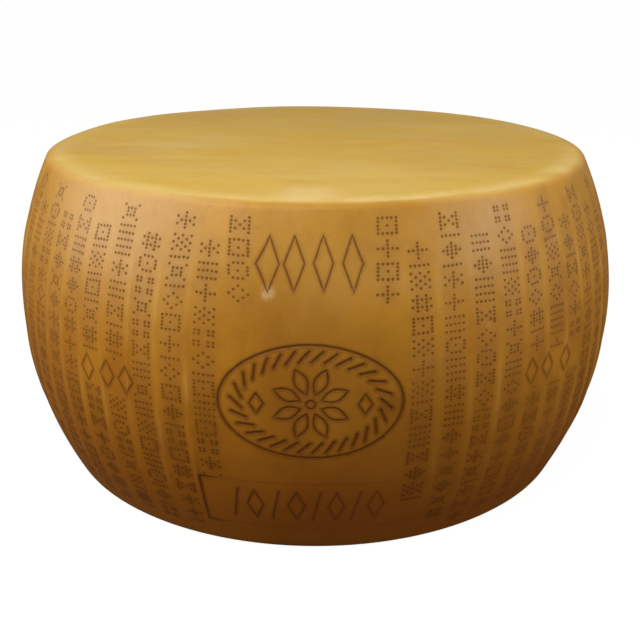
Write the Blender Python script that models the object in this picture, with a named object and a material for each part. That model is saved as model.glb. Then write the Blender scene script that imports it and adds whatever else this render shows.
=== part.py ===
"""A whole wheel of aged hard cheese, lying on one of its flat faces.

The rind is one turned solid: a wall that bulges between two rounded rims, closed by two flat faces.
Low ribs run up the wall between the strips that the mould's marking band leaves. Shallow grooves
are pressed into the front of the wall: an oval stamp with a flower in it, four tall lozenges above
the stamp, a long plate below it and three small diamonds on either side.

Metres, +Z up. The origin is the centre of the face that the wheel rests on, and the stamp faces -Y.
"""

import math

import bmesh
import bpy
from mathutils import Vector

# The wheel
WIDEST_RADIUS = 0.2225
WALL_HEIGHT = 0.2196
DRAW_IN = 0.0261  # how much smaller the radius is at either end of the wall than halfway up
WALL_CURVE = 2.09  # power of height by which the wall draws in, where 2 is a parabola
RIM_RADIUS = 0.0053
WALL_ROWS = 12
RIM_ROWS = 3

# The strips of the marking band, counted from the one at the front
STRIPS = 66
STATIONS_PER_STRIP = 3
PLAIN_STRIPS = 3  # strips on either side of the front one that have no ribs
RIB_HEIGHT = 0.0007
RIB_HALF_WIDTH = 0.0020
RIB_FOOT = 0.030  # heights between which the ribs run
RIB_HEAD = 0.196
RIB_FADE = 0.022

# The pressed lines
GROOVE_WIDTH = 0.0015
GROOVE_DEPTH = 0.0013
GROOVE_CUTTER_RISE = 0.0030

# The marks: (distance along the wall from the front line, height above the base), then width and height
STAMP_CENTRE = (-0.0015, 0.1180)
STAMP_SIZE = (0.1078, 0.0728)
STAMP_STEPS = 36
FLOWER_PETALS = 8
FLOWER_REACH = (0.0050, 0.0235)
PETAL_WIDTH = 0.0078
PETAL_STEPS = 4
LOZENGE_PLACES = (-0.0255, -0.0106, 0.0057, 0.0222)
LOZENGE_HEIGHT_UP = 0.1970
LOZENGE_SIZE = (0.0117, 0.0295)
DIAMOND_PLACES = (-0.1512, -0.1338, -0.1186, 0.1440, 0.1600, 0.1802)
DIAMOND_HEIGHT_UP = 0.1160
DIAMOND_SIZE = (0.0112, 0.0160)
PLATE_CENTRE = (0.0, 0.0440)
PLATE_SIZE = (0.1400, 0.0400)
LONGEST_GROOVE_STEP = 0.0090

# The finish of the rind
RIND_COLOUR = (0.47, 0.235, 0.055, 1.0)
RIND_ROUGHNESS = 0.45

STRIP_ANGLE = 2 * math.pi / STRIPS
RIM_LEAN = math.atan2(WALL_CURVE * DRAW_IN, WALL_HEIGHT / 2)
HEIGHT = WALL_HEIGHT + 2 * RIM_RADIUS * (1 - math.sin(RIM_LEAN))


def wall_radius(height):
    """Radius of the bulging wall at a height above the base."""
    share = abs(height - HEIGHT / 2) / (WALL_HEIGHT / 2)
    return WIDEST_RADIUS - DRAW_IN * share**WALL_CURVE


def upper_half():
    """Radius and height of the profile from just above halfway up the wall to the centre of the top."""
    points = []
    half_rows = WALL_ROWS // 2
    for row in range(1, half_rows + 1):
        height = HEIGHT / 2 + WALL_HEIGHT / 2 * row / half_rows
        points.append((wall_radius(height), height))
    end_radius, end_height = points[-1]
    centre_radius = end_radius - RIM_RADIUS * math.cos(RIM_LEAN)
    centre_height = end_height - RIM_RADIUS * math.sin(RIM_LEAN)
    for row in range(1, RIM_ROWS + 1):
        angle = RIM_LEAN + (math.pi / 2 - RIM_LEAN) * row / RIM_ROWS
        radius = centre_radius + RIM_RADIUS * math.cos(angle)
        points.append((radius, centre_height + RIM_RADIUS * math.sin(angle)))
    points.append((0.0, HEIGHT))
    return points


def whole_profile():
    """The profile from the centre of the top down to the centre of the base, mirrored about half height."""
    upper = upper_half()
    lower = [(radius, HEIGHT - height) for radius, height in upper]
    return upper[::-1] + [(WIDEST_RADIUS, HEIGHT / 2)] + lower


def around(radius, azimuth, height):
    """A point at an azimuth, which is 0 at the front and grows towards +X."""
    return Vector((radius * math.sin(azimuth), -radius * math.cos(azimuth), height))


def turn_wheel():
    """Spins the profile once round the axis, from a boundary between two strips."""
    mesh = bmesh.new()
    start = STRIP_ANGLE / 2
    points = [mesh.verts.new(around(radius, start, height)) for radius, height in whole_profile()]
    edges = [mesh.edges.new(pair) for pair in zip(points, points[1:])]
    bmesh.ops.spin(
        mesh,
        geom=points + edges,
        axis=(0, 0, 1),
        cent=(0, 0, 0),
        angle=2 * math.pi,
        steps=STRIPS * STATIONS_PER_STRIP,
        use_merge=True,
    )
    bmesh.ops.remove_doubles(mesh, verts=mesh.verts, dist=0.00001)
    bmesh.ops.recalc_face_normals(mesh, faces=mesh.faces)
    return mesh


def smooth_step(value):
    """0 below 0, 1 above 1, and a smooth rise between."""
    value = min(max(value, 0.0), 1.0)
    return value * value * (3 - 2 * value)


def raise_ribs(mesh):
    """Lifts the wall at each boundary between two strips, and draws the stations beside it close to it."""
    for vert in mesh.verts:
        radius = math.hypot(vert.co.x, vert.co.y)
        if radius < RIM_RADIUS:
            continue
        strips_round = math.atan2(vert.co.x, -vert.co.y) / STRIP_ANGLE
        boundary = round(strips_round - 0.5) + 0.5
        station = round((strips_round - boundary) * STATIONS_PER_STRIP)
        azimuth = boundary * STRIP_ANGLE + station * RIB_HALF_WIDTH / WIDEST_RADIUS
        height = vert.co.z
        if station == 0 and abs(boundary) > PLAIN_STRIPS:
            above_foot = smooth_step((height - RIB_FOOT) / RIB_FADE)
            below_head = smooth_step((RIB_HEAD - height) / RIB_FADE)
            radius += RIB_HEIGHT * above_foot * below_head
        vert.co = around(radius, azimuth, height)


def wall_point(along, height):
    """Place and outward normal on the wall, from the distance along it and the height above the base."""
    azimuth = along / WIDEST_RADIUS
    radius = wall_radius(height)
    step = 0.0001
    slope = (wall_radius(height + step) - wall_radius(height - step)) / (2 * step)
    normal = around(1.0, azimuth, -slope).normalized()
    return around(radius, azimuth, height), normal


def oval(centre, size):
    """A closed oval outline."""
    half_width, half_height = size[0] / 2, size[1] / 2
    points = []
    for step in range(STAMP_STEPS):
        angle = 2 * math.pi * step / STAMP_STEPS
        points.append((centre[0] + half_width * math.cos(angle), centre[1] + half_height * math.sin(angle)))
    return points


def lozenge(centre, size):
    """A closed outline with four straight sides and its points up, down and to the sides."""
    half_width, half_height = size[0] / 2, size[1] / 2
    return [
        (centre[0] + half_width, centre[1]),
        (centre[0], centre[1] + half_height),
        (centre[0] - half_width, centre[1]),
        (centre[0], centre[1] - half_height),
    ]


def rectangle(centre, size):
    """A closed outline with four square corners."""
    half_width, half_height = size[0] / 2, size[1] / 2
    corners = ((1, -1), (1, 1), (-1, 1), (-1, -1))
    return [(centre[0] + x * half_width, centre[1] + y * half_height) for x, y in corners]


def petal(centre, angle):
    """A closed outline of a petal that points away from the centre, pointed at both ends."""
    inner, outer = FLOWER_REACH
    across = (-math.sin(angle), math.cos(angle))
    points = []
    for side in (1, -1):
        for step in range(PETAL_STEPS):
            share = step / PETAL_STEPS if side == 1 else 1 - step / PETAL_STEPS
            reach = inner + (outer - inner) * share
            swell = side * PETAL_WIDTH / 2 * math.sin(math.pi * share)
            points.append(
                (
                    centre[0] + reach * math.cos(angle) + swell * across[0],
                    centre[1] + reach * math.sin(angle) + swell * across[1],
                )
            )
    return points


def outlines():
    """Every closed line that is pressed into the wall."""
    found = [oval(STAMP_CENTRE, STAMP_SIZE), rectangle(PLATE_CENTRE, PLATE_SIZE)]
    found += [petal(STAMP_CENTRE, 2 * math.pi * (k + 0.5) / FLOWER_PETALS) for k in range(FLOWER_PETALS)]
    found += [lozenge((along, LOZENGE_HEIGHT_UP), LOZENGE_SIZE) for along in LOZENGE_PLACES]
    found += [lozenge((along, DIAMOND_HEIGHT_UP), DIAMOND_SIZE) for along in DIAMOND_PLACES]
    return found


def even_steps(outline):
    """The outline with its long sides divided, so that it can follow the bulge of the wall."""
    points = []
    for start, end in zip(outline, outline[1:] + outline[:1]):
        length = math.dist(start, end)
        pieces = max(1, math.ceil(length / LONGEST_GROOVE_STEP))
        for piece in range(pieces):
            share = piece / pieces
            points.append((start[0] + (end[0] - start[0]) * share, start[1] + (end[1] - start[1]) * share))
    return points


def add_groove_cutter(mesh, outline):
    """Adds a closed ring of kite section whose lower point runs under the wall along the outline."""
    path = even_steps(outline)
    places = [wall_point(*point) for point in path]
    rings = []
    for index, (place, normal) in enumerate(places):
        before = places[index - 1][0]
        after = places[(index + 1) % len(places)][0]
        across = normal.cross(after - before).normalized()
        section = (
            place + normal * GROOVE_CUTTER_RISE,
            place + across * GROOVE_WIDTH / 2,
            place - normal * GROOVE_DEPTH,
            place - across * GROOVE_WIDTH / 2,
        )
        rings.append([mesh.verts.new(corner) for corner in section])
    for ring, following in zip(rings, rings[1:] + rings[:1]):
        for corner in range(4):
            beside = (corner + 1) % 4
            mesh.faces.new((ring[corner], ring[beside], following[beside], following[corner]))


def mesh_object(name, mesh):
    """Turns a bmesh into a linked object."""
    data = bpy.data.meshes.new(name)
    mesh.to_mesh(data)
    mesh.free()
    made = bpy.data.objects.new(name, data)
    bpy.context.scene.collection.objects.link(made)
    return made


def rind_material():
    """Waxy amber rind."""
    material = bpy.data.materials.new("rind")
    material.use_nodes = True
    shader = material.node_tree.nodes["Principled BSDF"]
    shader.inputs["Base Color"].default_value = RIND_COLOUR
    shader.inputs["Roughness"].default_value = RIND_ROUGHNESS
    shader.inputs["Metallic"].default_value = 0.0
    return material


def make_cutter():
    """All the groove cutters as one hidden object."""
    mesh = bmesh.new()
    for outline in outlines():
        add_groove_cutter(mesh, outline)
    bmesh.ops.recalc_face_normals(mesh, faces=mesh.faces)
    cutter = mesh_object("groove_cutter", mesh)
    cutter.hide_render = True
    cutter.display_type = "WIRE"
    return cutter


def make_wheel(cutter):
    """The wheel with its ribs raised and its grooves cut."""
    mesh = turn_wheel()
    raise_ribs(mesh)
    wheel = mesh_object("wheel", mesh)
    wheel.data.materials.append(rind_material())
    wheel.data.shade_smooth()
    wheel.data.set_sharp_from_angle(angle=math.radians(30))
    grooves = wheel.modifiers.new("pressed grooves", "BOOLEAN")
    grooves.operation = "DIFFERENCE"
    grooves.object = cutter
    return wheel


for old in list(bpy.data.objects):
    bpy.data.objects.remove(old, do_unlink=True)

make_wheel(make_cutter())
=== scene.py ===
"""Dresses a whole wheel of aged hard cheese: its waxy rind with pressed marks, and the studio round it.

The rind is modelled as the mould's marking band is used: a flat strip is dotted and grooved, and then
wrapped round the bulging wall and over both faces. Six such strips, side by side, make the wheel, so
that each can hold its own fine pits. Metres, +Z up, the stamp faces -Y.
"""

import math
from contextlib import contextmanager
from typing import NamedTuple

import bpy
import numpy as np
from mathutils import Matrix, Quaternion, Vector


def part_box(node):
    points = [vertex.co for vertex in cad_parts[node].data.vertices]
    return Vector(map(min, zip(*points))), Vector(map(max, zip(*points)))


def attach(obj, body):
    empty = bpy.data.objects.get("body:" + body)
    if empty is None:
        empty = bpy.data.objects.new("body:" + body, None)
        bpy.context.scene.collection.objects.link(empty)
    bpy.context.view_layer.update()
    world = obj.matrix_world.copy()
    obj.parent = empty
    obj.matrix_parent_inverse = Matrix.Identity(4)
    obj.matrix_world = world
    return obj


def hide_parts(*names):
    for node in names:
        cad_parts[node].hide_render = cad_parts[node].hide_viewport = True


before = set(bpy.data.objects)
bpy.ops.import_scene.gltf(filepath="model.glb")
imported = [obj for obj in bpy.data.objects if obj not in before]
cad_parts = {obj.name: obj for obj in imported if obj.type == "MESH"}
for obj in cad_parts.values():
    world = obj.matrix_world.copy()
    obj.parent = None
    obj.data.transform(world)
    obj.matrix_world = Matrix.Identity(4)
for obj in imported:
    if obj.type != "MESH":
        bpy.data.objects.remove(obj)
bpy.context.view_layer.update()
WHEEL_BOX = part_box("wheel")

bl_info = {
    "name": "Cheese wheel",
    "version": (1, 0, 0),
    "blender": (4, 5, 0),
    "location": "View3D > Sidebar > Cheese",
    "description": "Models the marked rind of a whole cheese wheel and the studio it is shown in",
    "category": "Object",
}

# How a strip of the wall is divided: five cells of dots, then four narrower cells before the next column
STRIPS = 66
DOTS_ACROSS = 5
CELLS_PER_STRIP = 9
ALL_CELLS = STRIPS * CELLS_PER_STRIP
SECTORS = 6
SECTOR_CELLS = ALL_CELLS // SECTORS
FIRST_CELL = -60  # the sectors meet on the level skin between a column and the rib beside it
PLAIN_STRIPS = 1  # strips on either side of the front one that have no column

# Rows of the flat strip, from halfway up the wall to either pole
WALL_ROWS = 107
RIM_ROWS = 5
FACE_ROWS = 12
ROWS = WALL_ROWS + 2 * (RIM_ROWS + FACE_ROWS)

# Rows counted down from the upper rim
HIGH_START = 2
LOW_START = 9
LAST_ROW = 104
MOTIF_ROWS = 5
BAR_CHANCE = 0.3

# The ornaments, one string a row
MOTIFS = (
    ("..#..", ".###.", "#####", ".###.", "..#.."),
    (".###.", "#...#", "#.#.#", "#...#", ".###."),
    ("#.#.#", ".#.#.", "#.#.#", ".#.#.", "#.#.#"),
    ("..#..", ".#.#.", "#...#", ".#.#.", "..#.."),
    ("..#..", "..#..", "#####", "..#..", "..#.."),
    ("#####", ".....", "#####", ".....", "#####"),
    ("##.##", "##.##", ".....", "##.##", "##.##"),
    ("#####", "#...#", "#.#.#", "#...#", "#####"),
    ("#...#", "##.##", "#.#.#", "##.##", "#...#"),
    ("..#..", "#.#.#", ".###.", "#.#.#", "..#.."),
    (".#.#.", "#####", ".#.#.", "#####", ".#.#."),
    ("#...#", ".###.", ".#.#.", ".###.", "#...#"),
)

# The share of the baked map's height that each face, and the cut between two sectors, may take
FACE_MAP_SHARE = 0.14
CUT_MAP_SHARE = 0.02
CUT_MAP_ACROSS = (0.02, 0.47)  # where the axis and the rind of the first cut lie across the map
CUT_MAP_UP = (0.8, 0.2)  # and its base and top, down from the upper end of the map

# Points of the turned profile on the wall, the rim and the face
WALL_POINTS = 400
RIM_POINTS = 40
FACE_POINTS = 60

# The line marks: distances along the wall from the front line and up the wall from half height
STAMP_CENTRE = (-0.0015, 0.0024)
STAMP_SIZE = (0.1078, 0.0706)
STAMP_STEPS = 48
FLOWER_PETALS = 8
FLOWER_REACH = (0.0064, 0.0228)
PETAL_WIDTH = 0.0074
PETAL_STEPS = 7
EYE_SIZE = (0.0052, 0.0052)
EYE_STEPS = 10
ROPE_TICKS = 30
ROPE_STEPS = 240
ROPE_SHARE = 0.81  # size of the ring of strokes, as a share of the stamp's
ROPE_TICK = 0.0100
ROPE_LEAN = 0.80
STUD_PLACE = 0.0315
STUD_SIZE = (0.0084, 0.0130)
LOZENGE_PLACES = (-0.0265, -0.0119, 0.0056, 0.0236)
LOZENGE_UP = 0.0834
LOZENGE_SIZE = (0.0120, 0.0320)
DIAMOND_PLACES = (-0.1512, -0.1338, -0.1186, 0.1440, 0.1600, 0.1802)
DIAMOND_UP = 0.0033
DIAMOND_SIZE = (0.0112, 0.0180)
PLATE_CENTRE = (0.0, -0.0742)
PLATE_SIZE = (0.1462, 0.0408)
PLATE_TOP_END = 0.0540
PLATE_SIGNS = 8
PLATE_SIGN_START = (-0.0495, -0.0728)
PLATE_SIGN_SPACING = 0.0129
PLATE_TICK_REACH = (0.0025, 0.0130)
PLATE_LOZENGE_SIZE = (0.0106, 0.0250)
PLATE_MARGIN = 0.003

# What is left of the lines: of the plate's signs and frame from left to right, and of the others
SIGN_WEAR = (0.95, 0.50)
FRAME_WEAR = (1.0, 0.14)
FRAME_WEAR_REACH = 0.015
LOZENGE_WEAR = 0.72
DIAMOND_WEAR = 0.60

# Boxes of (left, right, lower, upper) that hold no dots: round the front, the plate and each small diamond
PLAIN_FIELDS = (
    (-0.0558, 0.0558, -1.0, 0.0585),
    (-0.0745, 0.0, -1.0, -0.0526),
    (0.0, 0.0745, -1.0, -0.0742),
    *((place - 0.0050, place + 0.0050, -0.0072, 0.0138) for place in DIAMOND_PLACES),
)

# How the lines are cut out of the flat strip
SLAB = 0.005  # thickness of the strip during the cut
SLIVER = 0.00004  # corners closer than this are merged after it
LINE_LIFT = 0.5  # how far the tube of a line is lifted, as a share of its radius
LINE_STEP = 0.003  # longest straight piece of a line
DIVIDE_REACH = 1.5  # how far round the lines the cells are divided, as a share of the reach of their stain

# Corners closer than this are merged when a sector is closed, and those this near the axis are poles
MERGE_REACH = 0.000001
POLE_REACH = 0.00001
SMOOTH_ANGLE = math.radians(62)

# Distances from the front line between which the columns lean, and where the upright ones begin to
UPRIGHT_COLUMN = (0.0290, 0.0345, 0.0500, 0.0563)
LEANING_COLUMNS = (0.0708, 0.0780)
UPRIGHT_FOOT = 0.052
DRIFT_FADE = 6  # power by which the drift of the marks fades towards the rims

# The dots: seeds of their draws, how strong one is, how they wear down the wall, and how they stain it
COLUMN_SEED = 1000
DOT_SEED = 77
DOT_STRENGTH = (0.65, 1.0)
WEAR_HEIGHTS = (0.02, 0.87)
DOT_WEAR = (0.35, 1.0)
WEAR_SWING = 0.22
LEAST_WEAR = 0.12
STAIN_SHARE = 0.65

# The ribs: heights between which they rise and fall, how worn they are, and how many the front lacks
RIB_ENDS = (0.030, 0.055, 0.173, 0.198)
RIB_WORN = 0.6
RIB_WORN_SWING = 0.7
RIBLESS_STRIPS = 3

# Heights and radii between which the skin grows uneven, so that the wheel rests on a level foot
LEVEL_FOOT = (0.0005, 0.0105)
LEVEL_MIDDLE = (0.0, 0.06)

# Uneven fields as (seed, number of waves, most turns round the wheel, most climb in radians a metre)
RIB_WAVES = (11, 9, 60, 60.0)
DRIFT_WAVES = ((21, 8, 24, 40.0), (22, 8, 24, 40.0))
WEAR_WAVES = (5, 9, 40, 120.0)
SKIN_WAVES = (3, 10, 9, 30.0)


class Layer(NamedTuple):
    """A colour that is laid over the skin through the product of its masks."""

    colour: str
    strength: float = 1.0
    blotch: tuple = ()  # scale, the noise at which it starts and is full, and its stretch
    near: tuple = ()  # the middle of a patch, and the reaches at which it is full and gone
    masks: tuple = ()  # names of masks, each with the bounds and ends of its ramp


# Stretches of the blotches, longest where the number is least
EVEN = (1.0, 1.0, 1.0)
GRAIN = (1.0, 2.2, 1.0)

# Colours that change over the skin, as (name, ramp, first colour, last colour)
TONES = (
    ("column", ("share", 0.38, 0.72), "low_column", "column"),
    ("mark", ("share", 0.20, 0.60), "deep_dot", "dot"),
    ("pit", ("line", 0.0, 0.3), "mark", "line"),
)

# Ramps of the dull columns and of the pits
COLUMN_RAMP = ("share", 0.10, 0.45, 0.35, 0.72)
PIT_RAMPS = (("share", 0.1, 0.5, 0.66, 0.85), ("line", 0.0, 1.0, 1.0, 0.88))

# The layers from the lowest up, over the lower wall's colour, the face's colour and both of them
WALL_LAYERS = (
    Layer("middle", masks=(("share", 0.05, 0.50),)),
    Layer("upper", masks=(("share", 0.52, 0.90),)),
    Layer("golden", 0.68, (13.0, 0.36, 0.64, (1.0, 1.0, 0.45)), (), (("share", 0.15, 0.60), ("clear",))),
    Layer("handled", 0.60, (9.0, 0.20, 0.55, EVEN), ((0.010, -0.225, 0.108), 0.020, 0.115)),
    Layer("handled", 0.32, (), ((0.085, -0.195, 0.078), 0.010, 0.095)),
    Layer("handled", 0.55, (), ((0.0451, -0.2179, 0.1130), 0.001, 0.012)),
    Layer("column", 1.0, (24.0, 0.25, 0.60, (1.0, 1.0, 0.5)), (), (("column",), COLUMN_RAMP)),
    Layer("handled", 0.16, (70.0, 0.50, 0.75, (1.0, 1.0, 0.16))),
    Layer("handled", 0.22, (42.0, 0.52, 0.72, EVEN)),
    # Painted sheen: pale blotches under the upper rim and a patch at the upper left, partly waxy bloom and
    # partly the reflection of the left light
    Layer("bloom", 0.18, (35.0, 0.55, 0.75, EVEN), (), (("share", 0.55, 0.80),)),
    Layer("bloom", 0.60, masks=(("bloom",), ("share", 0.62, 0.95))),
    Layer("upper", 0.60, (), ((0.010, -0.197, 0.212), 0.015, 0.062)),
    Layer("handled", 0.16, (), ((0.036, -0.193, 0.208), 0.010, 0.038)),
    # Painted sheen: a pale patch at the upper right, the reflection of the right light
    Layer("bloom", 0.34, (), ((0.092, -0.175, 0.208), 0.008, 0.048)),
    # Partly painted highlight: the rib crests are painted paler, for rubbing and for the light that catches
    # them
    Layer("rib", 0.36, (26.0, 0.40, 0.62, EVEN), (), (("rib",), ("share", 0.15, 0.60))),
    Layer("ruddy", 0.40, (15.0, 0.46, 0.62, EVEN), (), (("share", 0.42, 0.20),)),
    Layer("rib", 0.45, (60.0, 0.67, 0.77, (1.0, 1.0, 0.6)), (), (("share", 0.55, 0.75),)),
    Layer("handled", 0.11, (150.0, 0.45, 0.75, EVEN)),
    Layer("sheen", 0.50, (150.0, 0.38, 0.66, (1.0, 1.0, 0.4)), ((-0.0259, -0.2117, 0.1794), 0.0005, 0.0065)),
)
FACE_LAYERS = (
    Layer("face_bloom", 1.0, (7.0, 0.38, 0.74, GRAIN)),
    # Painted light and shade: the faces are painted yellower towards the front and duller towards the back,
    # as the light falls
    Layer("face_bright", 0.55, masks=(("y", -0.03, -0.17),)),
    Layer("face_dull", 0.75, masks=(("y", -0.02, 0.17),)),
    Layer("face_stain", 0.60, (11.0, 0.52, 0.72, GRAIN)),
    Layer("face_stain", 0.25, (34.0, 0.50, 0.72, GRAIN)),
    # Partly painted highlight: the rubbed rim is painted paler, most towards the front, where the light falls
    Layer("rim", 0.64, masks=(("rubbed_and_highlit",),)),
    # Painted highlight: pale soft highlights over the rubbed rim, and a broad one at the middle of the front
    # rim
    Layer("sheen", 0.50, (26.0, 0.54, 0.70, EVEN), (), (("rubbed_and_highlit",),)),
    Layer("sheen", 0.36, (), ((-0.004, -0.167, 0.2255), 0.004, 0.030)),
)
MARK_LAYERS = (
    Layer("mark", masks=(("stain", 0.12, 0.75), ("share", 0.20, 0.70, 0.50, 0.16), ("kept",))),
    Layer("line", masks=(("line",), ("share", 0.45, 0.80, 0.52, 0.38))),
    Layer("pit", masks=(("pressed", 0.0, 0.20), ("kept",), *PIT_RAMPS)),
)

# Patches as a layer has them: painted sheen with waxy bloom at the upper left, marks that are worn at the
# right, and a low place of the rim
PAINTED_SHEEN_PATCH = ((-0.112, -0.162, 0.222), 0.020, 0.105)
BLOOM_AND_SHEEN_BLOTCH = (8.0, 0.52, 0.78, EVEN)
BLOOM_AND_SHEEN_SHARE = 0.5
WORN_PATCH = ((0.135, -0.155, 0.060), 0.020, 0.120)
WORN_SHARE = 0.45
DIP_PATCH = ((-0.004, -0.193, 0.224), 0.045, 0.100)
DIP = 0.0026

# The rim: radii beyond the flat face where it turns into wall, radii where it is rubbed and painted with a
# highlight, and where that is most, towards the front where the light falls
RIM_TURN = (0.0058, -0.0034)
RUBBED_AND_HIGHLIT = (-0.020, -0.004)
RUBBED_AND_HIGHLIT_BLOTCH = (20.0, 0.25, 0.62, EVEN)
HIGHLIGHT_FRONT = (0.05, -0.15, 0.35, 1.0)
COLUMN_CLEAR = (0.9, 0.1, 0.25, 1.0)

# Noises as (scale, detail, roughness), and how they are used
BLOTCH_DETAIL = (4.0, 0.6)
UNEVEN_NOISE = (7.0, 3.0, 0.55)
UNEVEN_SHARE = 0.22
FINE_NOISE = (420.0, 4.0, 0.6)
FINE_SHARE = 0.35
COARSE_NOISE = (60.0, 3.0, 0.5)
BUMP_STRENGTH = 0.25
BUMP_DISTANCE = 0.0006
GLOSS_NOISE = (25.0, 3.0, 0.55)
GLOSS_RAMP = (0.3, 0.7, 0.36, 0.52)
SPECULAR = 0.22

# The studio: lights as (name, place, height that it looks at, size, power setting, colour)
LIGHTS = (
    ("overhead", (-0.35, -0.75, 1.25), 0.12, 0.7, "key_power", (1.0, 0.97, 0.92)),
    ("left", (-1.5, -0.25, 0.65), 0.14, 0.9, "left_power", (1.0, 0.95, 0.92)),
    ("right", (1.4, -0.4, 0.7), 0.14, 0.9, "right_power", (1.0, 0.95, 0.92)),
)
WHITE = (1.0, 1.0, 1.0, 1.0)
PAPER = ((0.84, 0.84, 0.84, 1.0), (0.88, 0.88, 0.88, 1.0))
PAPER_NOISE = (3.0, 3.0, 0.55)
FLOOR_GLOW = 1.05
FLOOR_BOUNCE = (0.16, 0.12, 0.08, 1.0)
WORLD_LIGHT = (1.0, 0.94, 0.84, 1.0)
CAMERA_AIM = (0.0164, -0.1406)  # to the right of the axis and up from half height, in widest radii


def a_length(name, description, default):
    """A length in metres that the panel shows."""
    return bpy.props.FloatProperty(
        name=name, description=description, default=default, unit="LENGTH", precision=5
    )


def a_colour(name, description, default):
    """A colour that the panel shows as a swatch."""
    return bpy.props.FloatVectorProperty(
        name=name, description=description, default=default, subtype="COLOR", size=3, min=0.0, max=1.0
    )


def a_number(name, description, default):
    """A plain number that the panel shows."""
    return bpy.props.FloatProperty(name=name, description=description, default=default, precision=3)


class WheelSizes(bpy.types.PropertyGroup):
    """The turned form of the wheel."""

    widest_radius: a_length("Widest radius", "Radius halfway up the wall", 0.2225)
    height: a_length("Height", "Height over both faces", WHEEL_BOX[1].z - WHEEL_BOX[0].z)
    wall_height: a_length("Wall height", "Height of the bulging wall between the rims", 0.2196)
    draw_in: a_length("Draw in", "How much smaller the radius is at either end of the wall", 0.0261)
    wall_curve: a_number("Wall curve", "Power of height by which the wall draws in", 2.09)
    rim_radius: a_length("Rim radius", "Radius of the rounded rims", 0.0053)
    flat_radius: a_length("Flat radius", "Radius of the flat faces inside the rounded rims", 0.1916)
    unevenness: a_length("Unevenness", "How far the hand-turned rind wanders in and out", 0.0004)
    drift: a_length("Drift", "How far the marks wander from their straight columns", 0.0006)
    upright: a_length("Upright", "How far the columns beside the lozenges lean out at the rim", 0.0036)
    lean: a_length("Lean", "How far the other columns lean to one side at the rim", 0.0024)
    rib_height: a_length("Rib height", "Height of the ribs between the dotted columns", 0.0007)
    rib_width: a_length("Rib width", "Half width of a rib", 0.0013)


class MarkSizes(bpy.types.PropertyGroup):
    """The pressed dots and lines."""

    dot_pitch: a_length("Dot pitch", "Distance across from dot to dot", 0.0029)
    dot_width: a_length("Dot width", "Width of a dot", 0.0021)
    dot_margin: a_length("Dot margin", "Margin left round a dot by the inset of its cell", 0.00012)
    dot_corner: a_length("Dot corner", "How much of a dot's corners is cut off", 0.0006)
    dot_depth: a_length("Dot depth", "Depth of a fresh dot", 0.0009)
    dot_scatter: a_length("Dot scatter", "How far a dot strays from its place", 0.00014)
    fine_line: a_length("Fine line", "Half width of the thin pressed lines", 0.0008)
    frame_line: a_length("Frame line", "Half width of the frames round the stamp and the plate", 0.0010)
    bold_line: a_length("Bold line", "Half width of the strokes inside the stamp's frame", 0.0012)
    line_depth: a_number("Line depth", "How deep the lines are kept, as a share of their cut", 0.62)
    line_stain: a_length("Line stain", "How far the stain of a pressed line reaches past it", 0.0015)


class RindColours(bpy.types.PropertyGroup):
    """The colours of the rind."""

    face: a_colour("Face", "Flat faces", (0.58, 0.365, 0.050))
    face_stain: a_colour("Face stain", "Oily stains on the flat faces", (0.56, 0.29, 0.032))
    face_bloom: a_colour("Face bloom", "Pale wiped patches on the flat faces", (0.62, 0.43, 0.11))
    # Painted light and shade: the next two colours make the faces duller at the back and yellower at the
    # front
    face_dull: a_colour("Dull face", "Duller skin at the back of the upper face", (0.50, 0.315, 0.042))
    face_bright: a_colour("Bright face", "Yellower skin at the front of the upper face", (0.68, 0.445, 0.070))
    # Partly painted highlight: the rim colour is rubbed skin and also the highlight along the front rim
    rim: a_colour("Rim", "Rubbed edge of the flat faces", (0.76, 0.56, 0.20))
    # Painted highlight: this palest colour paints the soft highlights of the front rim as well as real
    # scratches
    sheen: a_colour("Sheen", "Palest rubs of the edge, and scratches", (0.84, 0.66, 0.36))
    upper: a_colour("Upper wall", "Wall under the upper rim", (0.47, 0.235, 0.028))
    middle: a_colour("Middle wall", "Wall at half height", (0.40, 0.150, 0.010))
    lower: a_colour("Lower wall", "Wall near the base", (0.32, 0.105, 0.004))
    handled: a_colour("Handled skin", "Darker skin round the stamp and in streaks", (0.22, 0.075, 0.006))
    # Painted sheen: this pale colour is partly waxy bloom and partly the side lights' reflection under the
    # upper rim
    bloom: a_colour("Bloom", "Pale waxy bloom under the upper rim", (0.64, 0.41, 0.19))
    golden: a_colour("Golden skin", "Brighter patches of the wall", (0.60, 0.30, 0.023))
    column: a_colour("Column", "Duller skin of the dotted columns", (0.45, 0.215, 0.045))
    low_column: a_colour("Low column", "The same on the lower wall", (0.25, 0.092, 0.008))
    line: a_colour("Line", "Pressed lines", (0.13, 0.036, 0.003))
    ruddy: a_colour("Ruddy skin", "Redder skin near the base", (0.25, 0.060, 0.003))
    dot: a_colour("Dot", "Bottom of the dots", (0.19, 0.074, 0.003))
    deep_dot: a_colour("Deep dot", "The same near the base", (0.125, 0.037, 0.002))
    # Partly painted highlight: paler rib crests for rubbing and for the light that catches them; the same
    # colour paints real scuffs
    rib: a_colour("Rib", "Rubbed ribs and scuffs", (0.64, 0.39, 0.10))


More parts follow.
